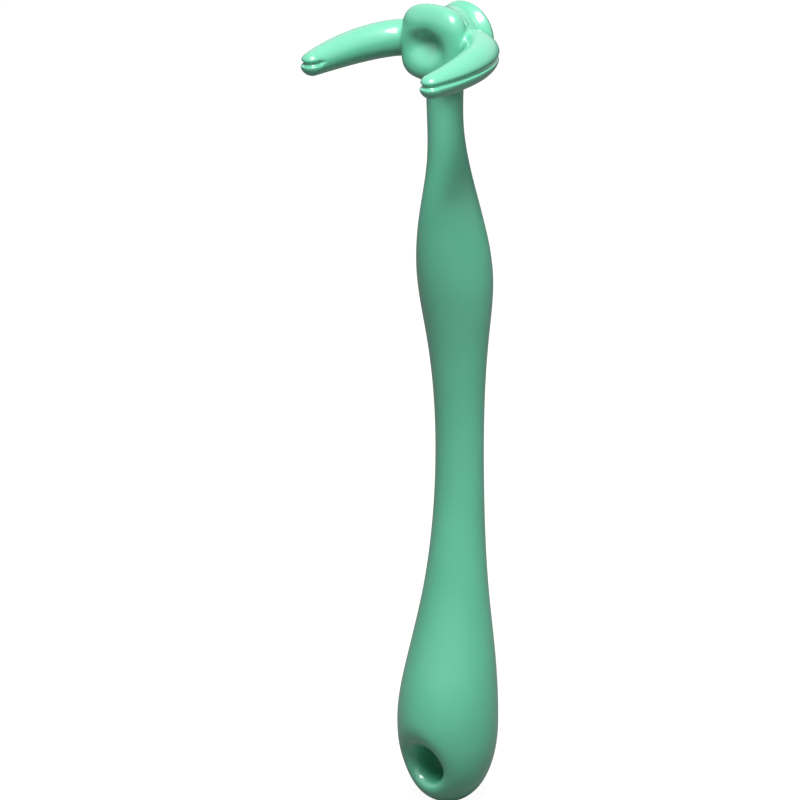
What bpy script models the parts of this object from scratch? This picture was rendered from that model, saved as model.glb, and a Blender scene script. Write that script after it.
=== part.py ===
# Floss holder, moulded in one piece: a long S-curved handle with a hanging hole in its butt, and a
# head that is a dished hub between two forward-curving prongs, with a winding button behind it.
# The moulding is one smooth cage of rings. Each named object is the stretch of it inside its own
# block of space, so two neighbours meet on one flat seat. X is across the fork, -Y is the side that
# the fork opens to, and Z runs up the handle. Sizes are in millimetres, which MM turns into metres.
import math

import bmesh
import bpy
import numpy as np
from mathutils import Matrix, Vector

MM = 0.001

# Handle: each round section's rise above the one below, set-back of its centre, and radius
SECTIONS = (
    (3.2, 1.7, 6.5),
    (6.3, 1.5, 9.5),
    (8.1, 1.4, 10.3),
    (12.4, 2.4, 9.1),
    (14.0, 3.7, 6.8),
    (14.0, 4.5, 5.4),
    (14.0, 4.8, 4.9),
    (14.0, 4.6, 5.2),
    (12.0, 4.1, 6.3),
    (12.5, 3.2, 7.6),
    (12.5, 1.9, 6.3),
    (11.0, 1.0, 4.2),
    (8.0, 0.2, 3.6),
    (6.5, 0.0, 3.7),
)
RISES, SET_BACKS, RADII = zip(*SECTIONS)
HANDLE = tuple(zip(np.cumsum(RISES), SET_BACKS, RADII))
# The section that the hanging hole goes through, and the one that the hand holds
HOLE_SECTION = HANDLE[1]
HAND_SECTION = HANDLE[5]
BUTT_END = -1.25

# Hanging hole, front to back, with a rounded lip at each end
HOLE_RADIUS = 3.9
HOLE_LIP = 2.0
HOLE_SIDES = 32
HOLE_LIP_RINGS = 6

# Head: its centre above the handle's last section, and behind the neck
HEAD_RISE = 10.3
HEAD_SET_BACK = -0.6
HEAD_HEIGHT = HANDLE[-1][0] + HEAD_RISE

# Hub: a round boss from front to back, with a fat lip about a small oval dish in its front
HUB_FRONT = 5.6
HUB_RADIUS = 7.7
HUB_REAR_RADIUS = 6.3
LIP_RADIUS = 3.1
# The dish: its depth, its sideways stretch, and how far its mouth lies below its floor
DISH_DEPTH = 3.0
DISH_STRETCH = 1.3
DISH_FLOOR_RADIUS = 0.8
DISH_WALL_RADIUS = 1.7
DISH_MOUTH_DROP = 1.3
DISH_FLOOR_RISE = 0.6

# Winding channel behind the hub, and the button behind the channel, with a flat back
CHANNEL_PLACE = 4.9
CHANNEL_RADIUS = 5.1
CHANNEL_WIDTH = 1.4
BUTTON_RADIUS = 7.3
BUTTON_THICKNESS = 4.0
BUTTON_DOME = 0.6
BUTTON_DROP = 0.4
# How much narrower the button's front and back rings are than its edge
BUTTON_FRONT_STEP = 0.8
BUTTON_BACK_STEP = 1.5
# The button's front, widest and back rings: each one's place and radius
BUTTON_FRONT = (CHANNEL_PLACE + CHANNEL_WIDTH * 0.7, BUTTON_RADIUS - BUTTON_FRONT_STEP)
BUTTON_EDGE = (CHANNEL_PLACE + BUTTON_THICKNESS * 0.6, BUTTON_RADIUS)
BUTTON_BACK = (CHANNEL_PLACE + BUTTON_THICKNESS + BUTTON_DOME / 3, BUTTON_RADIUS - BUTTON_BACK_STEP)

# Prongs: they lie in a plane that starts below the head's centre and droops towards the tips
PRONG_DROP = 0.7
PRONG_DROOP = math.radians(8.1)

# A prong's centre line leaves the hub's side at one slant and ends turned inwards at another
PRONG_ROOT_GAP = 1.6
PRONG_ROOT_PLACE = -0.1
PRONG_ROOT_SLANT = math.radians(26)
PRONG_ROOT_SWEEP = 5.1
TIP_HALF_GAP = 15.55
TIP_REACH = 20.9
TIP_SLANT = math.radians(4.4)
TIP_SWEEP = 10.2
PRONG_ROOT_RADIUS = 3.75
PRONG_TIP_RADIUS = 2.65
# The prong narrows with this power of its length, so mostly near the tip
PRONG_TAPER = 2.5
PRONG_RINGS = 8
# Shares of the tip's radius: how far on its last ring lies, how wide it is, and how far the end is
TIP_RING_PLACE = 0.75
TIP_RING_SIZE = 0.72
TIP_END = 1.25

# The flat seats on neck and prongs lie this far outside the drum
SEAT = HUB_RADIUS + 1.9

# Floss groove along each prong's outer side, over its tip, and back along its inner side
GROOVE_RADIUS = 0.6
GROOVE_DEPTH = 0.9
GROOVE_SIDES = 10
GROOVE_RINGS = 56
# How far in front of the channel the groove passes round the prong's root
FLANK_GAP = 0.9
# The slants at which the groove passes round the tip, and the tip's length past the last ring as a
# share of that ring's radius
TIP_PASSES = tuple(math.radians(slant) for slant in (30, 60, 90, 120, 150, 180))
TIP_LENGTH = 0.98
# On the inner side the groove ends here: its centre has left the skin by this much, at the last
# ring but one
INNER_RISE = 0.8

# Cage: rings of eight points, which shrink by this much when they are subdivided
SUBDIVISION = 2
RING = 8
RING_SHRINK = (4 + 2 * math.cos(math.tau / RING)) / 6
LIP_RINGS = 5
BLOCK_RINGS = 3

# Cutters reach this far past what they cut, and blocks of space this far out
PAST = 1.5
ROOM = 60.0

MINT = (0.135, 0.60, 0.40, 1.0)
GLOSS_ROUGHNESS = 0.28


def circle(count):
    return np.arange(count) * math.tau / count


def square_places():
    """The eight places round a square: the middles of its sides and its corners, in turn."""
    return [(round(math.cos(a)), round(math.sin(a))) for a in circle(RING)]


def through(values):
    """Cage values whose subdivided surface passes through these ones, with both ends kept."""
    count = len(values)
    weights = np.eye(count)
    for row in range(1, count - 1):
        weights[row, row - 1:row + 2] = (1 / 6, 4 / 6, 1 / 6)
    return np.linalg.solve(weights, np.array(values, float))


def smooth_line(points, count):
    """Evenly spread points on a cubic curve through these ones, as an array."""
    points = np.array(points, float)
    reach = np.append(0, np.cumsum(np.linalg.norm(np.diff(points, axis=0), axis=1)))
    slopes = np.gradient(points, reach, axis=0)
    along = np.linspace(0, reach[-1], count)
    at = np.clip(np.searchsorted(reach, along, "right") - 1, 0, len(points) - 2)
    span = np.diff(reach)[at][:, None]
    t = (along - reach[at])[:, None] / span
    a, b, da, db = points[at], points[at + 1], slopes[at] * span, slopes[at + 1] * span
    return (
        (2 * t**3 - 3 * t**2 + 1) * a + (t**3 - 2 * t**2 + t) * da
        + (3 * t**2 - 2 * t**3) * b + (t**3 - t**2) * db
    )


def bezier(first, second, third, last, count):
    t = np.linspace(0, 1, count)[:, None]
    first, second, third, last = (np.array(point) for point in (first, second, third, last))
    return (
        (1 - t)**3 * first + 3 * (1 - t)**2 * t * second + 3 * (1 - t) * t**2 * third + t**3 * last
    )


def in_head(x, y, z):
    """A point given from the head's centre."""
    return Vector((x, y + HEAD_SET_BACK, z + HEAD_HEIGHT))


def add_ring(mesh, centre, radius, across, up):
    """Eight cage points round a centre, whose subdivided ring has this radius."""
    reach = radius / RING_SHRINK
    return [
        mesh.verts.new((centre + across * math.cos(a) * reach + up * math.sin(a) * reach) * MM)
        for a in circle(RING)
    ]


def bridge(mesh, first, second):
    for n in range(len(first)):
        m = (n + 1) % len(first)
        mesh.faces.new((first[n], first[m], second[m], second[n]))


def close_ring(mesh, ring, middle):
    """Four faces about a middle point close a ring of eight."""
    for n in range(0, RING, 2):
        mesh.faces.new((middle, ring[n - 1], ring[n], ring[(n + 1) % RING]))


def drum_profile():
    """Cage rings (place, radius, sideways stretch, rise) from the dish's floor to the button's back.

    The lip is a round bead, so its rings lie at the eighths of a circle."""
    bead = -HUB_FRONT + LIP_RADIUS
    crest = HUB_RADIUS - LIP_RADIUS
    eighth = LIP_RADIUS * math.sqrt(0.5)
    floor = -HUB_FRONT + DISH_DEPTH
    rings = (
        (floor, DISH_FLOOR_RADIUS, DISH_STRETCH, DISH_FLOOR_RISE),
        ((floor + bead) / 2, DISH_WALL_RADIUS, DISH_STRETCH, (DISH_FLOOR_RISE - DISH_MOUTH_DROP) / 2),
        (bead - eighth, crest - eighth, DISH_STRETCH, -DISH_MOUTH_DROP),
        (bead - LIP_RADIUS, crest, (1 + DISH_STRETCH) / 2, -DISH_MOUTH_DROP / 2),
        (bead - eighth, crest + eighth, 1, 0),
        (bead, HUB_RADIUS, 1, 0),
        ((bead + CHANNEL_PLACE) / 2, (HUB_RADIUS + HUB_REAR_RADIUS) / 2, 1, 0),
        (CHANNEL_PLACE - CHANNEL_WIDTH, HUB_REAR_RADIUS, 1, 0),
        (CHANNEL_PLACE - CHANNEL_WIDTH / 4, CHANNEL_RADIUS, 1, 0),
        (CHANNEL_PLACE + CHANNEL_WIDTH / 4, CHANNEL_RADIUS, 1, 0),
        (*BUTTON_FRONT, 1, -BUTTON_DROP),
        (*BUTTON_EDGE, 1, -BUTTON_DROP),
        (*BUTTON_BACK, 1, -BUTTON_DROP),
    )
    return [tuple(ring) for ring in through(rings)]


def hub_block(mesh):
    """The 3 x 3 x 3 block of cage points that all of the moulding's branches grow from."""
    block = {}
    for j, (y, radius, _, rise) in zip((-1, 0, 1), drum_profile()[LIP_RINGS:]):
        reach = radius / RING_SHRINK
        for angle, (i, k) in zip(circle(RING), square_places()):
            if j or k == 1 or i * k:
                point = in_head(math.cos(angle) * reach, y, math.sin(angle) * reach + rise)
                block[i, j, k] = mesh.verts.new(point * MM)
    return block


def side_ring(block, axis, side):
    """The eight cage points round one side of the hub's block."""
    ring = []
    for a, b in square_places():
        place = {"x": (side, a, b), "y": (a, side, b), "z": (a, b, side)}[axis]
        ring.append(block[place])
    return ring


def grow_handle(mesh, block):
    """Rings down the neck, the upper swelling, the waist and the grip to the rounded butt."""
    sections = through(HANDLE)
    last = side_ring(block, "z", -1)
    for height, set_back, radius in sections[::-1]:
        centre = Vector((0, set_back, height))
        ring = add_ring(mesh, centre, radius, Vector((1, 0, 0)), Vector((0, 1, 0)))
        bridge(mesh, last, ring)
        last = ring
    # The middle point lies so far below the first ring that the subdivided end just meets z = 0
    height, set_back, _ = sections[0]
    close_ring(mesh, last, mesh.verts.new(Vector((0, set_back, height * BUTT_END)) * MM))


def grow_drum(mesh, block, side, rings, end):
    """Rings along the head's front to back axis, closed at a last place."""
    last = side_ring(block, "y", side)
    for y, radius, stretch, rise in rings:
        centre = in_head(0, y, rise)
        ring = add_ring(mesh, centre, radius, Vector((stretch, 0, 0)), Vector((0, 0, 1)))
        bridge(mesh, last, ring)
        last = ring
    close_ring(mesh, last, mesh.verts.new(in_head(0, end, rings[-1][3]) * MM))


def prong_turn():
    return Matrix.Rotation(PRONG_DROOP, 3, "X")


def prong_frames(side, count):
    """Centre, outward and forward directions and radius at points along a prong, root to tip."""
    root = np.array((HUB_RADIUS + PRONG_ROOT_GAP, PRONG_ROOT_PLACE))
    tip = np.array((TIP_HALF_GAP, -TIP_REACH))
    leaving = np.array((math.cos(PRONG_ROOT_SLANT), -math.sin(PRONG_ROOT_SLANT)))
    backward = np.array((math.sin(TIP_SLANT), math.cos(TIP_SLANT)))
    bends = (root, root + leaving * PRONG_ROOT_SWEEP, tip + backward * TIP_SWEEP, tip)
    curve = bezier(*bends, 4 * PRONG_RINGS)
    line = smooth_line(curve, count)
    ahead = np.gradient(line, axis=0)
    ahead /= np.linalg.norm(ahead, axis=1)[:, None]
    turn = prong_turn()
    frames = []
    for (x, y), (ax, ay), share in zip(line, ahead, np.linspace(0, 1, count)):
        centre = in_head(0, 0, -PRONG_DROP) + turn @ Vector((x * side, y, 0))
        outward = turn @ Vector((-ay * side, ax, 0))
        forward = turn @ Vector((ax * side, ay, 0))
        radius = PRONG_ROOT_RADIUS + (PRONG_TIP_RADIUS - PRONG_ROOT_RADIUS) * share**PRONG_TAPER
        frames.append((centre, outward, forward, radius))
    return frames


def grow_prong(mesh, block, side):
    """Rings along a prong's centre line, closed by a rounded tip."""
    up = prong_turn() @ Vector((0, 0, 1))
    last = side_ring(block, "x", side)
    frames = prong_frames(side, PRONG_RINGS)
    centre, outward, forward, radius = frames[-1]
    end_ring = centre + forward * radius * TIP_RING_PLACE
    frames.append((end_ring, outward, forward, radius * TIP_RING_SIZE))
    for middle, across, _, size in frames:
        ring = add_ring(mesh, middle, size, across, up)
        bridge(mesh, last, ring)
        last = ring
    close_ring(mesh, last, mesh.verts.new((centre + forward * radius * TIP_END) * MM))


def moulding_cage():
    """The whole moulding as one closed cage."""
    mesh = bmesh.new()
    block = hub_block(mesh)
    close_ring(mesh, side_ring(block, "z", 1), block[0, 0, 1])
    grow_handle(mesh, block)
    profile = drum_profile()
    grow_drum(mesh, block, -1, profile[:LIP_RINGS][::-1], -HUB_FRONT + DISH_DEPTH)
    back = CHANNEL_PLACE + BUTTON_THICKNESS + BUTTON_DOME
    grow_drum(mesh, block, 1, profile[LIP_RINGS + BLOCK_RINGS:], back)
    for side in (1, -1):
        grow_prong(mesh, block, side)
    bmesh.ops.recalc_face_normals(mesh, faces=mesh.faces)
    return mesh


def new_object(name, mesh, parent):
    data = bpy.data.meshes.new(name)
    mesh.to_mesh(data)
    mesh.free()
    made = bpy.data.objects.new(name, data)
    bpy.context.scene.collection.objects.link(made)
    made.parent = parent
    return made


def new_cutter(name, mesh, parent):
    made = new_object(name, mesh, parent)
    made.hide_render = True
    made.display_type = "WIRE"
    return made


def space_block(name, low, high, parent):
    """A box between two corners given from the head's centre."""
    mesh = bmesh.new()
    bmesh.ops.create_cube(mesh, size=1)
    low, high = Vector(low), Vector(high)
    place = Matrix.Translation(in_head(*(low + high) / 2) * MM)
    size = Matrix.Diagonal((*(high - low) * MM, 1))
    bmesh.ops.transform(mesh, matrix=place @ size, verts=mesh.verts)
    return new_cutter(name, mesh, parent)


def swept_cutter(name, rings, parent):
    """A closed body through rings of points."""
    mesh = bmesh.new()
    made = [[mesh.verts.new(point * MM) for point in ring] for ring in rings]
    for first, second in zip(made, made[1:]):
        bridge(mesh, first, second)
    mesh.faces.new(made[0])
    mesh.faces.new(made[-1])
    bmesh.ops.recalc_face_normals(mesh, faces=mesh.faces)
    return new_cutter(name, mesh, parent)


def groove_cutter(side, parent):
    """A round groove from the winding channel along the prong's flank and outer side, over its tip
    and out of the skin again on its inner side."""
    reach = GROOVE_RADIUS - GROOVE_DEPTH
    start = CHANNEL_RADIUS + GROOVE_RADIUS / 2
    flank = CHANNEL_PLACE - FLANK_GAP + reach
    line = [
        in_head(side * start, CHANNEL_PLACE - GROOVE_RADIUS / 4, -PRONG_DROP),
        in_head(side * (HUB_RADIUS + GROOVE_RADIUS / 2), flank, -PRONG_DROP),
    ]
    frames = prong_frames(side, PRONG_RINGS)
    line += [centre + outward * (radius + reach) for centre, outward, _, radius in frames[1:]]
    centre, outward, forward, radius = frames[-1]
    line += [
        centre + outward * math.cos(a) * (radius + reach)
        + forward * math.sin(a) * (radius * TIP_LENGTH + reach)
        for a in TIP_PASSES
    ]
    centre, outward, _, radius = frames[-2]
    line.append(centre - outward * (radius + INNER_RISE))
    points = smooth_line(line, GROOVE_RINGS)
    up = prong_turn() @ Vector((0, 0, 1))
    rings = []
    for point, ahead in zip(points, np.gradient(points, axis=0)):
        across = Vector(ahead).cross(up).normalized()
        rings.append([
            Vector(point) + (across * math.cos(a) + up * math.sin(a)) * GROOVE_RADIUS
            for a in circle(GROOVE_SIDES)
        ])
    return swept_cutter(f"groove_cutter_{side}", rings, parent)


def hole_cutter(parent):
    """A bore through the butt, flared by a rounded lip at each end."""
    height, set_back, surface = HOLE_SECTION
    front = [
        (HOLE_RADIUS + HOLE_LIP * (1 - math.cos(a)), surface - HOLE_LIP * (1 - math.sin(a)))
        for a in np.linspace(0, math.pi / 2, HOLE_LIP_RINGS)
    ]
    front.append((HOLE_RADIUS + HOLE_LIP, surface + PAST))
    profile = [(radius, -place) for radius, place in front[::-1]] + front
    rings = [
        [
            Vector((radius * math.cos(a), set_back + place, height + radius * math.sin(a)))
            for a in circle(HOLE_SIDES)
        ]
        for radius, place in profile
    ]
    return swept_cutter("hole_cutter", rings, parent)


def add_boolean(made, operation, cutter):
    boolean = made.modifiers.new(f"{operation.lower()} {cutter.name}", "BOOLEAN")
    boolean.operation = operation
    boolean.object = cutter
    boolean.solver = "EXACT"


def add_material(made):
    material = bpy.data.materials.new(f"mint plastic, {made.name}")
    material.use_nodes = True
    shader = material.node_tree.nodes["Principled BSDF"]
    shader.inputs["Base Color"].default_value = MINT
    shader.inputs["Roughness"].default_value = GLOSS_ROUGHNESS
    shader.inputs["Metallic"].default_value = 0.0
    material.diffuse_color = MINT
    made.data.materials.append(material)


def feature(name, parent, kept, cutters):
    """One feature of the moulding: the smooth cage, kept inside one block if given, and cut."""
    made = new_object(name, moulding_cage(), parent)
    made.data.shade_smooth()
    smooth = made.modifiers.new("smooth moulding", "SUBSURF")
    smooth.levels = SUBDIVISION
    smooth.render_levels = SUBDIVISION
    if kept:
        add_boolean(made, "INTERSECT", kept)
    for cutter in cutters:
        add_boolean(made, "DIFFERENCE", cutter)
    add_material(made)


def main():
    for old in list(bpy.data.objects):
        bpy.data.objects.remove(old)
    grip = bpy.data.objects.new("hand_grip_origin", None)
    bpy.context.scene.collection.objects.link(grip)
    height, set_back, _ = HAND_SECTION
    grip.location = (0, -set_back * MM, -height * MM)

    wide = BUTTON_RADIUS + BUTTON_DROP + PAST
    back = CHANNEL_PLACE + BUTTON_THICKNESS
    neck = space_block("below_neck_seat", (-ROOM, -ROOM, -4 * ROOM), (ROOM, ROOM, -SEAT), grip)
    channel = space_block("behind_channel", (-wide, CHANNEL_PLACE, -wide), (wide, ROOM, wide), grip)
    beyond = space_block("beyond_back", (-ROOM, back, -ROOM), (ROOM, 2 * ROOM, ROOM), grip)
    right = space_block("right_of_seat", (SEAT, -ROOM, -SEAT), (ROOM, ROOM, ROOM), grip)
    left = space_block("left_of_seat", (-ROOM, -ROOM, -SEAT), (-SEAT, ROOM, ROOM), grip)
    right_groove, left_groove = groove_cutter(1, grip), groove_cutter(-1, grip)

    feature("handle", grip, neck, [hole_cutter(grip)])
    feature("hub", grip, None, [neck, channel, right, left, right_groove, left_groove])
    feature("winding_button", grip, channel, [beyond])
    feature("right_prong", grip, right, [right_groove])
    feature("left_prong", grip, left, [left_groove])


main()
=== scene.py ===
import math

import bmesh
import bpy
import numpy as np
from mathutils import Matrix, Vector


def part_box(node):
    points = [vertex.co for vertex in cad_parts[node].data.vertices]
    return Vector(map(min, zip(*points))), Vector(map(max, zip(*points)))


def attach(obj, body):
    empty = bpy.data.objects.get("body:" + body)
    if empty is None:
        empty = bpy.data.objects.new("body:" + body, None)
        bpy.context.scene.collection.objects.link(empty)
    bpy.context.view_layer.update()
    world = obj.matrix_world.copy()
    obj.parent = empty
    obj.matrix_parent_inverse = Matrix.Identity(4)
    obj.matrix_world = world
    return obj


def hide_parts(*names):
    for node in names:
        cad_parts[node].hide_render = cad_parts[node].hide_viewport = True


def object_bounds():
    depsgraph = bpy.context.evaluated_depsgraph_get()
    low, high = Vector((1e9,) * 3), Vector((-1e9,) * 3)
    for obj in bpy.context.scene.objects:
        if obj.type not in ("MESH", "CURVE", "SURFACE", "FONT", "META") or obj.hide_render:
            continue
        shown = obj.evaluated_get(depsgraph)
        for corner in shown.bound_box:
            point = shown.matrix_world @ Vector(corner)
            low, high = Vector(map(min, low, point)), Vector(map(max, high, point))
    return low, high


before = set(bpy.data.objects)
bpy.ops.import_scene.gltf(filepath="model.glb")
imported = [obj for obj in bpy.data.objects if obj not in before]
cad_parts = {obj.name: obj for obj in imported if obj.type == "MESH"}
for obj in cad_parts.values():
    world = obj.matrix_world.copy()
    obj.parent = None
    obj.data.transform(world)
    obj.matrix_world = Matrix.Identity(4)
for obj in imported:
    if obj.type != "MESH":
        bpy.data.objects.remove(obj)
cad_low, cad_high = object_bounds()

# Handle
# The long round grip: a thick lower swelling with the hanging hole, a slim waist, an upper swelling and
# the neck. It is the lower part of one solid injection moulding in glossy mint plastic, which has no
# other pieces. Lengths are millimetres in the frame, as x across, y back and z up.
MM = 0.001
BUTT = cad_low.z / MM
NECK_BACK = -4.5

# Each section's height above the butt, set-back of its centre behind the neck, and radius
HANDLE_SECTIONS = (
    (17.6, 1.4, 10.3),
    (30.0, 2.4, 9.1),
    (44.0, 3.7, 6.8),
    (58.0, 4.5, 5.4),
    (72.0, 4.8, 4.9),
    (86.0, 4.6, 5.2),
    (98.0, 4.1, 6.3),
    (110.5, 3.2, 7.6),
    (123.0, 1.9, 6.3),
    (134.0, 1.0, 4.2),
    (142.0, 0.2, 3.6),
    (148.5, 0.0, 3.7),
    (158.8, 0.0, 3.9),
)
BUTT_FULLNESS = 2.2
HOLE_HEIGHT = 9.0
HOLE_SET_BACK = 1.5
HOLE_RADIUS = 2.8
HOLE_FLARE = 0.027
HOLE_LIP = 5.0


def through_stations(stations, at):
    """Value and slope at each height of a cubic spline through stations (height, value).

    Its slopes solve the usual three-term rows for equal bending on both sides of a station, and it
    is level at both ends."""
    heights, values = np.array(stations, float).T
    rise = np.diff(heights)
    pull = np.diff(values) / rise**2
    rows = np.eye(len(heights))
    right = np.zeros(len(heights))
    for n in range(1, len(heights) - 1):
        rows[n, n - 1:n + 2] = (1 / rise[n - 1], 2 / rise[n - 1] + 2 / rise[n], 1 / rise[n])
        right[n] = 3 * (pull[n - 1] + pull[n])
    slopes = np.linalg.solve(rows, right)
    at = np.clip(at, heights[0], heights[-1])
    n = np.clip(np.searchsorted(heights, at, "right") - 1, 0, len(rise) - 1)
    h, t = rise[n], (at - heights[n]) / rise[n]
    a, b, c, d = values[n], values[n + 1], slopes[n] * h, slopes[n + 1] * h
    value = (2 * t**3 - 3 * t**2 + 1) * a + (3 * t**2 - 2 * t**3) * b + (t**3 - 2 * t**2 + t) * c
    slope = 6 * (t**2 - t) * (a - b) + (3 * t**2 - 4 * t + 1) * c + (3 * t**2 - 2 * t) * d
    return value + (t**3 - t**2) * d, slope / h


def blend(first, second, width):
    """The lower of two distances, rounded off by a cubic where they differ by less than width."""
    near = np.maximum(width - np.abs(first - second), 0) / width
    return np.minimum(first, second) - near**3 * width / 6


def carve(body, tool, width):
    """What is left of a body outside a tool, with the edge between them rounded over."""
    return -blend(-body, tool, width)


def handle_skin(x, y, z):
    """Distance to the handle: round sections on a curved centre line, whose lowest stretch is half a
    superellipsoid, (across / radius)^p + (down / height)^p = 1."""
    up = z - BUTT
    back, _ = through_stations([(height, back) for height, back, _ in HANDLE_SECTIONS], up)
    radius, slope = through_stations([(height, size) for height, _, size in HANDLE_SECTIONS], up)
    lowest = HANDLE_SECTIONS[0][0]
    across = np.hypot(x, y - back - NECK_BACK) / radius
    down = np.maximum(lowest - up, 0) / lowest
    share = (across**BUTT_FULLNESS + down**BUTT_FULLNESS)**(1 / BUTT_FULLNESS)
    side = (share - 1) * radius / np.sqrt(1 + slope**2)
    return np.maximum(side, up - HANDLE_SECTIONS[-1][0])


def hanging_hole(x, y, z):
    """Distance to the bore through the butt, which is straight at the rear and flares to the front:
    its radius grows there with the square of the way along it."""
    along = np.minimum(y - NECK_BACK - HOLE_SET_BACK, 0)
    radius = HOLE_RADIUS + HOLE_FLARE * along**2
    return (np.hypot(x, z - BUTT - HOLE_HEIGHT) - radius) / np.hypot(1, 2 * HOLE_FLARE * along)


# Hub
# The head's body: a thick round boss with an oval dish in its front, and a collar behind it. It is
# moulded in one with the neck below it and the prongs at its sides. Its lengths and theirs are taken
# from the middle of the head, and the two places below are given as back and up.
HEAD_UP = BUTT + HANDLE_SECTIONS[-1][0]
HEAD_BACK = -5.1
BOSS_SIZE = (6.75, 5.9, 6.6)
BOSS_PLACE = (-0.64, -0.39)
BOSS_LEAN = math.radians(4)
BOSS_FLARE = 0.10
BOSS_SQUARENESS = 3.3
COLLAR_RADIUS = 6.37
COLLAR_FRONT = -2.6
COLLAR_REAR = 4.0
COLLAR_CORNER = 0.9
COLLAR_FILLET = 3.0
NECK_FILLET = 2.7
DISH_SIZE = (3.3, 4.8, 1.9)
DISH_PLACE = (-7.0, -2.2)
DISH_TILT = math.radians(40)
DISH_LIP = 7.0

# Added to what divides, so that it is never zero
SPECK = 1e-6
FINER_SPECK = 1e-9


def disc(across, along, radius, front, rear, corner):
    """Distance to a round disc with rounded corners: the distance to the smaller disc, less corner."""
    side = across - (radius - corner)
    end = np.abs(along - (front + rear) / 2) - ((rear - front) / 2 - corner)
    outside = np.hypot(np.maximum(side, 0), np.maximum(end, 0))
    return outside + np.minimum(np.maximum(side, end), 0) - corner


def tilted(y, z, angle):
    """The same place in axes turned about x, so that the first one points back and up."""
    return y * math.cos(angle) + z * math.sin(angle), z * math.cos(angle) - y * math.sin(angle)


def ellipsoid(x, y, z, size):
    """Distance to an ellipsoid, by the usual estimate k (k - 1) / |gradient of k|."""
    k = np.sqrt((x / size[0])**2 + (y / size[1])**2 + (z / size[2])**2) + SPECK
    steep = np.sqrt((x / size[0]**2)**2 + (y / size[1]**2)**2 + (z / size[2]**2)**2) + SPECK
    return k * (k - 1) / steep


def boss_skin(x, y, z):
    """Distance to the boss, and to the collar behind it.

    The boss is a ball that widens to the front and is a little square when seen from there: with r
    as (across^q + up^q)^(1/q), it ends where k, the root of r^2 + back^2, is 1."""
    back, up = tilted(y - BOSS_PLACE[0], z - BOSS_PLACE[1], -BOSS_LEAN)
    wide, deep, tall = BOSS_SIZE
    q, width = BOSS_SQUARENESS, 1 - BOSS_FLARE * back
    px, py, pz = np.abs(x / wide / width), back / deep, np.abs(up / tall / width)
    r = (px**q + pz**q)**(1 / q) + FINER_SPECK
    k = np.hypot(r, py) + FINER_SPECK
    slope = np.sqrt((px / r)**(2 * q - 2) * (r / wide)**2 + (pz / r)**(2 * q - 2) * (r / tall)**2
                    + (py / deep)**2) / k
    collar = disc(np.hypot(x, z), y, COLLAR_RADIUS, COLLAR_FRONT, COLLAR_REAR, COLLAR_CORNER)
    return blend((k - 1) / (slope + SPECK), collar, COLLAR_FILLET)


def dish(x, y, z):
    """Distance to the ellipsoid that hollows the boss, tilted so that its rear end is the higher one."""
    back, up = tilted(y - DISH_PLACE[0], z - DISH_PLACE[1], DISH_TILT)
    return ellipsoid(x, back, up, DISH_SIZE)


# Winding button
# The round button behind the hub, with a narrow channel between them in which floss is wound. It is
# moulded on a short core, with rounded edges and a flat back.
BUTTON_RADIUS = 8.05
BUTTON_UP = -0.76
BUTTON_FRONT = 3.63
BUTTON_CORNER = 4.54
BUTTON_FILLET = 0.8
CORE_RADIUS = 5.0
CORE_INSIDE = 1.0
CORE_CORNER = 0.5
CORE_FILLET = 0.9
channel_box, button_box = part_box("winding_button")
BUTTON_BACK = button_box.y / MM - HEAD_BACK


def button_skin(x, y, z):
    """Distance to the button and its core, which are two rounded discs on one axis."""
    across = np.hypot(x, z - BUTTON_UP)
    button = disc(across, y, BUTTON_RADIUS, BUTTON_FRONT, BUTTON_BACK, BUTTON_CORNER)
    core = disc(across, y, CORE_RADIUS, 0, BUTTON_BACK - CORE_INSIDE, CORE_CORNER)
    return blend(button, core, CORE_FILLET)


# Prongs
# Two round arms that leave the hub sideways and sweep forward, drooping a little. A groove for the
# floss runs along the outer side of each, over its tip and a short way back along its inner side,
# so that the tip is parted into an upper and a lower lip.
PRONG_DROP = 0.69
PRONG_DROOP = math.radians(8.1)
PRONG_BENDS = ((4.1, -0.14), (12.43, 3.06), (16.53, -7.98), (15.55, -21.03))
PRONG_LENGTH = 28.0
PRONG_ROOT_RADIUS = 3.66
PRONG_TIP_RADIUS = 2.42
PRONG_TAPER = 3.55
PRONG_FILLET = 1.16
PRONG_PLACES = 24
PRONG_STEPS = 4
LEAST_BEND = 1
GROOVE_RADIUS = 0.3
GROOVE_DEPTH = 0.7
GROOVE_RISE = 1.0
GROOVE_DROP = 0.6
GROOVE_EDGE = 1.2
GROOVE_START = 4.0
GROOVE_END = 3.4
GROOVE_TURN = 1.5
GROOVE_GONE = 1.6


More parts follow.
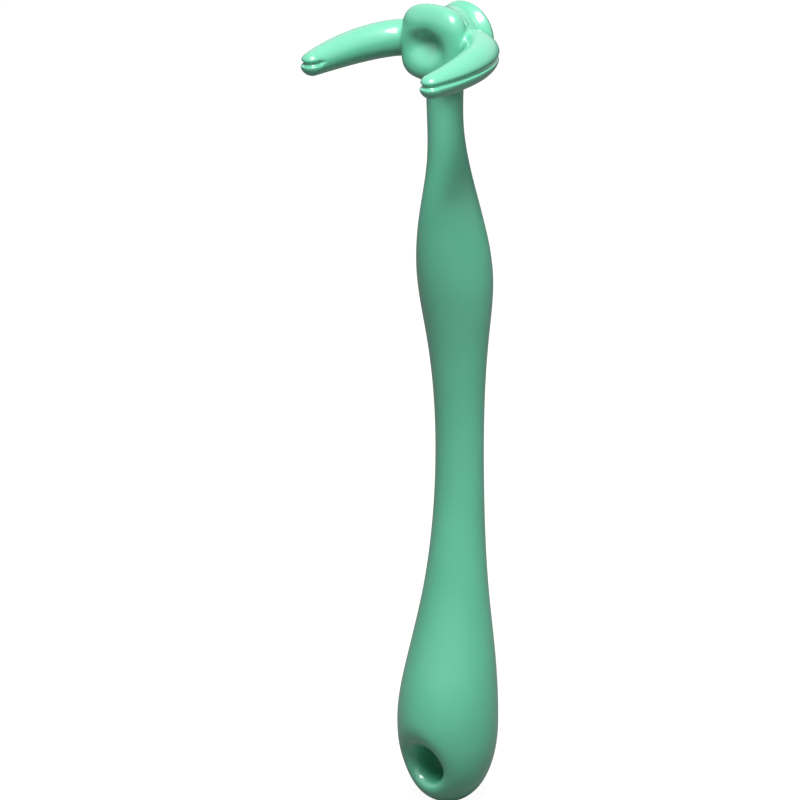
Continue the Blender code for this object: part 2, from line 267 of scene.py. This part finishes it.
def along_prong(x, y):
    """Nearest place on the prong's curve, at a share t of it.

    Its four bends weigh (1 - t)^3, 3 (1 - t)^2 t, 3 (1 - t) t^2 and t^3 there. The nearest of some
    even places is bettered by steps of slope / bend of the distance squared. The answer is the share,
    the distance in the prong's plane, and how far the place is to the outer side."""
    bends = np.array(PRONG_BENDS)

    def curve(t):
        t = t[..., None]
        place = ((1 - t)**3 * bends[0] + 3 * (1 - t)**2 * t * bends[1]
                 + 3 * (1 - t) * t**2 * bends[2] + t**3 * bends[3])
        run = 3 * ((1 - t)**2 * (bends[1] - bends[0]) + 2 * (1 - t) * t * (bends[2] - bends[1])
                   + t**2 * (bends[3] - bends[2]))
        turn = 6 * ((1 - t) * (bends[2] - 2 * bends[1] + bends[0])
                    + t * (bends[3] - 2 * bends[2] + bends[1]))
        return place, run, turn

    best = np.full(x.shape, np.inf)
    share = np.zeros(x.shape)
    for t in np.linspace(0, 1, PRONG_PLACES):
        place, _, _ = curve(np.array(t))
        away = (x - place[0])**2 + (y - place[1])**2
        closer = away < best
        best = np.where(closer, away, best)
        share = np.where(closer, t, share)
    for _ in range(PRONG_STEPS):
        place, run, turn = curve(share)
        dx, dy = place[..., 0] - x, place[..., 1] - y
        slope = dx * run[..., 0] + dy * run[..., 1]
        bend = (run**2).sum(-1) + dx * turn[..., 0] + dy * turn[..., 1]
        share = np.clip(share - slope / np.maximum(bend, LEAST_BEND), 0, 1)
    place, run, _ = curve(share)
    dx, dy = x - place[..., 0], y - place[..., 1]
    outward = (dy * run[..., 0] - dx * run[..., 1]) / np.hypot(run[..., 0], run[..., 1])
    return share, np.hypot(dx, dy), outward


def prong_skin(x, y, z):
    """Distances to the prong and to its groove.

    The prong is a tube about its curve that narrows towards the tip. The groove is a thin tube just
    under the prong's skin, which climbs from below the prong's middle to above it with the square of
    the share of the curve. It shrinks to nothing inside the hub, and along the inner side back from
    the tip."""
    back, up = tilted(y, z + PRONG_DROP, PRONG_DROOP)
    share, away, outward = along_prong(np.abs(x), back)
    radius = PRONG_ROOT_RADIUS + (PRONG_TIP_RADIUS - PRONG_ROOT_RADIUS) * share**PRONG_TAPER
    prong = np.hypot(away, up) - radius
    under = away - radius + GROOVE_DEPTH - GROOVE_RADIUS
    inner = np.clip(-outward / GROOVE_TURN, 0, 1)
    past_end = np.clip((1 - share) * PRONG_LENGTH / GROOVE_END, 0, 1)
    before_start = np.clip(1 - share * PRONG_LENGTH / GROOVE_START, 0, 1)
    gone = GROOVE_GONE * np.maximum(inner * past_end, before_start)
    groove = np.hypot(under, up + GROOVE_DROP - GROOVE_RISE * share**2) - GROOVE_RADIUS + gone
    return prong, groove


def skin(x, y, z):
    """Distance to the whole moulding: its features blended into each other, and then carved."""
    hx, hy, hz = x, y - HEAD_BACK, z - HEAD_UP
    prong, groove = prong_skin(hx, hy, hz)
    body = blend(handle_skin(x, y, z), boss_skin(hx, hy, hz), NECK_FILLET)
    body = blend(body, prong, PRONG_FILLET)
    body = blend(body, button_skin(hx, hy, hz), BUTTON_FILLET)
    body = carve(body, dish(hx, hy, hz), DISH_LIP)
    body = carve(body, groove, GROOVE_EDGE)
    return carve(body, hanging_hole(x, y, z), HOLE_LIP)


# Mesh of the moulding
# The skin branches and has holes, so it isn't one sheet over two parameters. It is the zero level of
# skin(), meshed as a head and a stem, and cut into the five features at the flat seats of the frame.
HEAD_CELL = 0.17
HANDLE_CELL = 0.34
BLOCK = 8
BLOCKS_NEAR = 1.5
BLOCKS_AT_ONCE = 1500
SLOPE_REACH = 0.004
LEAST_SLOPE = 0.05
EVENING_ROUNDS = 2
CUT_TOLERANCE = 1e-5
NET_ROOM = 1
SEAT_ROOM = 1.5
HEAD_NET_REAR = 6.0
STEM_NET_SIDE = 12
STEM_NET_SET_BACK = 14


def skin_near_zero(low, counts, cell):
    """skin() on a grid: exact in blocks that the zero level may cross, one value for each other."""
    blocks = [count // BLOCK for count in counts]
    middles = [start + cell * (np.arange(count) * BLOCK + (BLOCK - 1) / 2)
               for start, count in zip(low, blocks)]
    coarse = skin(*np.meshgrid(*middles, indexing="ij"))
    values = coarse.repeat(BLOCK, 0).repeat(BLOCK, 1).repeat(BLOCK, 2)
    near = np.argwhere(np.abs(coarse) < cell * BLOCK * BLOCKS_NEAR)
    steps = np.stack(np.meshgrid(*[np.arange(BLOCK)] * 3, indexing="ij"), -1).reshape(-1, 3)
    for some in np.array_split(near, max(1, len(near) // BLOCKS_AT_ONCE)):
        i, j, k = (some[:, None] * BLOCK + steps).reshape(-1, 3).T
        values[i, j, k] = skin(low[0] + i * cell, low[1] + j * cell, low[2] + k * cell)
    return values


def steepest(x, y, z):
    """skin()'s gradient, from places a little to each side, as rows."""
    return np.stack([
        skin(x + SLOPE_REACH, y, z) - skin(x - SLOPE_REACH, y, z),
        skin(x, y + SLOPE_REACH, z) - skin(x, y - SLOPE_REACH, z),
        skin(x, y, z + SLOPE_REACH) - skin(x, y, z - SLOPE_REACH),
    ], -1) / (2 * SLOPE_REACH)


def onto_skin(points, rounds):
    """Each point moves by value / slope along the gradient, which brings it onto the skin."""
    for _ in range(rounds):
        slope = steepest(*points.T)
        share = skin(*points.T) / np.maximum((slope**2).sum(1), LEAST_SLOPE)
        points = points - slope * share[:, None]
    return points


def skin_net(low, high, cell):
    """Points and four-sided faces of the zero level, as a surface net.

    Each grid cell that the skin crosses gets one point, at the mean of the crossings on its edges,
    and each crossed grid edge gets the face between the four cells round it. The points then move
    to the mean of their neighbours and back onto the skin, which evens the net."""
    counts = [math.ceil((b - a) / cell / BLOCK) * BLOCK for a, b in zip(low, high)]
    values = skin_near_zero(low, counts, cell)
    inside = values < 0
    corners = np.array([(i, j, k) for i in (0, 1) for j in (0, 1) for k in (0, 1)])
    filled = sum(inside[i:counts[0] - 1 + i, j:counts[1] - 1 + j, k:counts[2] - 1 + k].astype(int)
                 for i, j, k in corners)
    cells = np.argwhere((filled > 0) & (filled < len(corners)))
    number = np.full(filled.shape, -1)
    number[tuple(cells.T)] = np.arange(len(cells))
    total = np.zeros((len(cells), 3))
    crossings = np.zeros(len(cells))
    for first in corners:
        for axis in np.flatnonzero(first == 0):
            second = first + np.eye(3, dtype=int)[axis]
            a, b = values[tuple((cells + first).T)], values[tuple((cells + second).T)]
            crossed = (a < 0) != (b < 0)
            share = np.where(crossed, a / np.where(crossed, a - b, 1), 0)[:, None]
            total += np.where(crossed[:, None], first + share * (second - first), 0)
            crossings += crossed
    points = np.array(low) + cell * (cells + total / crossings[:, None])
    faces = []
    for axis in range(3):
        one, two = [n for n in range(3) if n != axis]
        span = [slice(1, count - 1) for count in counts]
        span[axis] = slice(0, counts[axis] - 1)
        ahead = list(span)
        ahead[axis] = slice(1, counts[axis])
        here = inside[tuple(span)]
        edges = np.argwhere(here != inside[tuple(ahead)])
        outward = here[tuple(edges.T)]
        edges[:, one] += 1
        edges[:, two] += 1
        ring = []
        for back_one, back_two in ((1, 1), (0, 1), (0, 0), (1, 0)):
            place = edges.copy()
            place[:, one] -= back_one
            place[:, two] -= back_two
            ring.append(number[tuple(place.T)])
        ring = np.stack(ring, 1)
        turned = outward if axis != 1 else ~outward
        faces.append(np.where(turned[:, None], ring, ring[:, ::-1]))
    faces = np.concatenate(faces)
    ends = np.concatenate([faces, np.roll(faces, 1, 1)]).ravel()
    starts = np.concatenate([np.roll(faces, 1, 1), faces]).ravel()
    neighbours = np.bincount(starts, minlength=len(points))
    for _ in range(EVENING_ROUNDS):
        points = np.stack([
            np.bincount(starts, points[ends, n], len(points)) / neighbours for n in range(3)
        ], 1)
        points = onto_skin(points, 2)
    return onto_skin(points, 1), faces


def net_mesh(low, high, cell):
    """A bmesh of the surface net between two corners, in millimetres."""
    points, faces = skin_net(low, high, cell)
    data = bpy.data.meshes.new("net")
    data.from_pydata(points, [], faces)
    mesh = bmesh.new()
    mesh.from_mesh(data)
    bpy.data.meshes.remove(data)
    return mesh


def cut_at(mesh, place, normal, clear=None):
    """Cuts a bmesh at a plane, and drops what lies on one side if that is named."""
    whole = mesh.verts[:] + mesh.edges[:] + mesh.faces[:]
    bmesh.ops.bisect_plane(mesh, geom=whole, dist=CUT_TOLERANCE, plane_co=place, plane_no=normal,
                           clear_inner=clear == "below", clear_outer=clear == "above")


def feature_piece(name, mesh, belongs):
    """A piece from the faces whose middle belongs to it, with flat caps on its seats.

    Its normals are the skin's gradient over that gradient's length, and it ends up in metres."""
    part = mesh.copy()
    strange = [face for face in part.faces if not belongs(face.calc_center_median())]
    bmesh.ops.delete(part, geom=strange, context="FACES")
    rims = [edge for edge in part.edges if edge.is_boundary]
    bmesh.ops.edgeloop_fill(part, edges=rims)
    data = bpy.data.meshes.new(name)
    part.to_mesh(data)
    part.free()
    points = np.empty(len(data.vertices) * 3)
    data.vertices.foreach_get("co", points)
    points = points.reshape(-1, 3)
    normals = steepest(*points.T)
    normals /= np.linalg.norm(normals, axis=1)[:, None]
    data.shade_smooth()
    data.normals_split_custom_set_from_vertices(normals)
    data.transform(Matrix.Diagonal((MM, MM, MM, 1)))
    piece = bpy.data.objects.new(name + "_skin", data)
    bpy.context.scene.collection.objects.link(piece)
    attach(piece, "root")
    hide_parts(name)
    return piece


neck_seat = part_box("handle")[1].z / MM
prong_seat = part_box("right_prong")[0].x / MM
channel = channel_box.y / MM
whole_low, whole_high = (np.array(corner) / MM for corner in (cad_low, cad_high))

head = net_mesh((whole_low[0] - NET_ROOM, whole_low[1] - NET_ROOM, neck_seat - SEAT_ROOM),
                (whole_high[0] + NET_ROOM, HEAD_NET_REAR, whole_high[2] + NET_ROOM), HEAD_CELL)
cut_at(head, (0, 0, neck_seat), (0, 0, 1), "below")
cut_at(head, (prong_seat, 0, 0), (1, 0, 0))
cut_at(head, (-prong_seat, 0, 0), (1, 0, 0))
cut_at(head, (0, channel, 0), (0, 1, 0))
stem = net_mesh((-STEM_NET_SIDE, whole_low[1] - NET_ROOM + STEM_NET_SET_BACK, whole_low[2] - NET_ROOM),
                (STEM_NET_SIDE, whole_high[1] + NET_ROOM, neck_seat + SEAT_ROOM), HANDLE_CELL)
cut_at(stem, (0, 0, neck_seat), (0, 0, 1), "above")

pieces = [
    feature_piece("handle", stem, lambda at: True),
    feature_piece("hub", head, lambda at: abs(at.x) < prong_seat and at.y < channel),
    feature_piece("winding_button", head, lambda at: abs(at.x) < prong_seat and at.y > channel),
    feature_piece("right_prong", head, lambda at: at.x > prong_seat),
    feature_piece("left_prong", head, lambda at: at.x < -prong_seat),
]
head.free()
stem.free()

# Mint plastic
# The whole moulding is one glossy, dyed polypropylene. Its skin copies a polished mould, with faint
# flow clouds in the colour, a shallow ripple, and fine rubbed patches.
MINT = (0.112, 0.545, 0.340, 1)
MINT_PALE = (0.128, 0.585, 0.380, 1)
PLASTIC_IOR = 1.49
COAT = 1.0
COAT_ROUGHNESS = 0.2
COAT_IOR = 1.7
SMOOTHEST = 0.45
ROUGHEST = 0.55

# Each noise's scale, detail and roughness, and for the first two what counts as none and as full
CLOUD_NOISE = (55, 3, 0.5)
CLOUD_RANGE = (0.35, 0.65)
RUB_NOISE = (140, 4, 0.6)
RUB_RANGE = (0.4, 0.7)
RIPPLE_NOISE = (900, 2, 0.5)
RIPPLE_STRENGTH = 0.04
RIPPLE_DEPTH = 0.0004


def mint_plastic():
    """The plastic: clouds mix its two colours, rubs set its roughness, and the ripple is its bump."""
    material = bpy.data.materials.new("mint_plastic")
    material.use_nodes = True
    nodes, links = material.node_tree.nodes, material.node_tree.links
    shader = nodes["Principled BSDF"]
    shader.inputs["IOR"].default_value = PLASTIC_IOR
    shader.inputs["Coat Weight"].default_value = COAT
    shader.inputs["Coat Roughness"].default_value = COAT_ROUGHNESS
    shader.inputs["Coat IOR"].default_value = COAT_IOR
    place = nodes.new("ShaderNodeTexCoord").outputs["Object"]

    def noise(scale, detail, rough):
        node = nodes.new("ShaderNodeTexNoise")
        node.inputs["Scale"].default_value = scale
        node.inputs["Detail"].default_value = detail
        node.inputs["Roughness"].default_value = rough
        links.new(place, node.inputs["Vector"])
        return node.outputs["Fac"]

    def ranged(value, low, high, to_low, to_high):
        node = nodes.new("ShaderNodeMapRange")
        node.inputs["From Min"].default_value = low
        node.inputs["From Max"].default_value = high
        node.inputs["To Min"].default_value = to_low
        node.inputs["To Max"].default_value = to_high
        links.new(value, node.inputs["Value"])
        return node.outputs["Result"]

    # A colour Mix node takes its colours on sockets 6 and 7, and gives the result on socket 2
    colour = nodes.new("ShaderNodeMix")
    colour.data_type = "RGBA"
    colour.inputs[6].default_value = MINT
    colour.inputs[7].default_value = MINT_PALE
    links.new(ranged(noise(*CLOUD_NOISE), *CLOUD_RANGE, 0, 1), colour.inputs[0])
    links.new(colour.outputs[2], shader.inputs["Base Color"])
    links.new(ranged(noise(*RUB_NOISE), *RUB_RANGE, SMOOTHEST, ROUGHEST), shader.inputs["Roughness"])
    bump = nodes.new("ShaderNodeBump")
    bump.inputs["Strength"].default_value = RIPPLE_STRENGTH
    bump.inputs["Distance"].default_value = RIPPLE_DEPTH
    links.new(noise(*RIPPLE_NOISE), bump.inputs["Height"])
    links.new(bump.outputs["Normal"], shader.inputs["Normal"])
    return material


plastic = mint_plastic()
for piece in pieces:
    piece.data.materials.append(plastic)


# Floor, light and camera
# A plain floor under the butt, three soft lamps and a surround. The camera sees floor and surround as
# white. Gloss sees a nearly dark floor, and a surround that is dark grey at the horizon and pales to
# white a little way up. Lengths here are metres.
FLOOR_SIZE = 6.0
FLOOR_GREY = 0.18
FLOOR_ROUGHNESS = 0.9
FLOOR_GLOW = 0.95
FLOOR_GLOW_IN_GLOSS = 0.05
SURROUND = 0.1
HORIZON_IN_GLOSS = 0.15
PALE_FROM = 0.3
WHITE = (1, 1, 1, 1)
LAMP_AIM = Vector((0, 0, 0.05))

# Each lamp's name, place, width, power in watts, and whether gloss mirrors it
LAMPS = (
    ("overhead_lamp", (0.38, -0.42, 1.12), 0.45, 17.4, True),
    ("side_lamp", (0.89, 0.75, 0.36), 0.9, 1.7, False),
    ("key_lamp", (0.41, -0.67, 0.96), 0.14, 2.8, True),
)
AZIMUTH = math.radians(42)
ELEVATION = math.radians(16)
AIM = Vector((0, -0.0045, 0.0273))
PIXELS_PER_METRE = 5000
PIXELS_ASIDE = 44
AIM_SHIFT = PIXELS_ASIDE / PIXELS_PER_METRE
FILM_WIDTH_MM = 36
FOCAL_LENGTH_MM = 225


def seen_directly(nodes, links, in_gloss, otherwise, full):
    """A strength: full for camera and transmission rays, otherwise for diffuse ones, and for glossy
    ones in_gloss, which is a number or a socket."""
    path = nodes.new("ShaderNodeLightPath")
    direct = nodes.new("ShaderNodeMath")
    direct.operation = "MAXIMUM"
    links.new(path.outputs["Is Camera Ray"], direct.inputs[0])
    links.new(path.outputs["Is Transmission Ray"], direct.inputs[1])
    gloss = nodes.new("ShaderNodeMapRange")
    gloss.inputs["To Min"].default_value = otherwise
    if isinstance(in_gloss, bpy.types.NodeSocket):
        links.new(in_gloss, gloss.inputs["To Max"])
    else:
        gloss.inputs["To Max"].default_value = in_gloss
    links.new(path.outputs["Is Glossy Ray"], gloss.inputs["Value"])

    # A Mix node of numbers takes its two numbers on sockets 2 and 3
    level = nodes.new("ShaderNodeMix")
    links.new(direct.outputs[0], level.inputs[0])
    links.new(gloss.outputs["Result"], level.inputs[2])
    level.inputs[3].default_value = full
    return level.outputs[0]


half = FLOOR_SIZE / 2
floor_mesh = bpy.data.meshes.new("floor")
floor_mesh.from_pydata([(-half, -half, cad_low.z), (half, -half, cad_low.z),
                        (half, half, cad_low.z), (-half, half, cad_low.z)],
                       [], [(0, 1, 2, 3)])
floor = bpy.data.objects.new("floor", floor_mesh)
bpy.context.scene.collection.objects.link(floor)
paper = bpy.data.materials.new("floor_paper")
paper.use_nodes = True
nodes, links = paper.node_tree.nodes, paper.node_tree.links
card = nodes["Principled BSDF"]
card.inputs["Base Color"].default_value = (FLOOR_GREY, FLOOR_GREY, FLOOR_GREY, 1)
card.inputs["Roughness"].default_value = FLOOR_ROUGHNESS
card.inputs["Specular IOR Level"].default_value = 0
card.inputs["Emission Color"].default_value = WHITE
links.new(seen_directly(nodes, links, FLOOR_GLOW_IN_GLOSS, 0, FLOOR_GLOW),
          card.inputs["Emission Strength"])
floor.data.materials.append(paper)

world = bpy.data.worlds.new("studio")
bpy.context.scene.world = world
world.use_nodes = True
nodes, links = world.node_tree.nodes, world.node_tree.links
height = nodes.new("ShaderNodeSeparateXYZ")
links.new(nodes.new("ShaderNodeTexCoord").outputs["Generated"], height.inputs[0])
haze = nodes.new("ShaderNodeMapRange")
haze.inputs["From Max"].default_value = PALE_FROM
haze.inputs["To Min"].default_value = HORIZON_IN_GLOSS
links.new(height.outputs["Z"], haze.inputs["Value"])
links.new(seen_directly(nodes, links, haze.outputs["Result"], SURROUND, 1),
          nodes["Background"].inputs["Strength"])
nodes["Background"].inputs["Color"].default_value = WHITE

for name, place, width, power, mirrored in LAMPS:
    light = bpy.data.lights.new(name, "AREA")
    light.shape = "DISK"
    light.size = width
    light.energy = power
    lamp = bpy.data.objects.new(name, light)
    bpy.context.scene.collection.objects.link(lamp)
    lamp.location = place
    lamp.rotation_euler = (LAMP_AIM - Vector(place)).to_track_quat("-Z", "Y").to_euler()
    lamp.visible_glossy = mirrored

# The camera stands one metre from its aim
toward = Vector((math.sin(AZIMUTH) * math.cos(ELEVATION), -math.cos(AZIMUTH) * math.cos(ELEVATION),
                 math.sin(ELEVATION)))
right = Vector((math.cos(AZIMUTH), math.sin(AZIMUTH), 0))
upward = toward.cross(right)
stand = [AIM[n] - right[n] * AIM_SHIFT + toward[n] for n in range(3)]
camera_data = bpy.data.cameras.new("camera")
camera_data.sensor_width = FILM_WIDTH_MM
camera_data.lens = FOCAL_LENGTH_MM
camera = bpy.data.objects.new("camera", camera_data)
bpy.context.scene.collection.objects.link(camera)
camera.matrix_world = Matrix([(right[n], upward[n], toward[n], stand[n]) for n in range(3)]
                             + [(0, 0, 0, 1)])
bpy.context.scene.camera = camera
bpy.context.scene.view_settings.view_transform = "Standard"
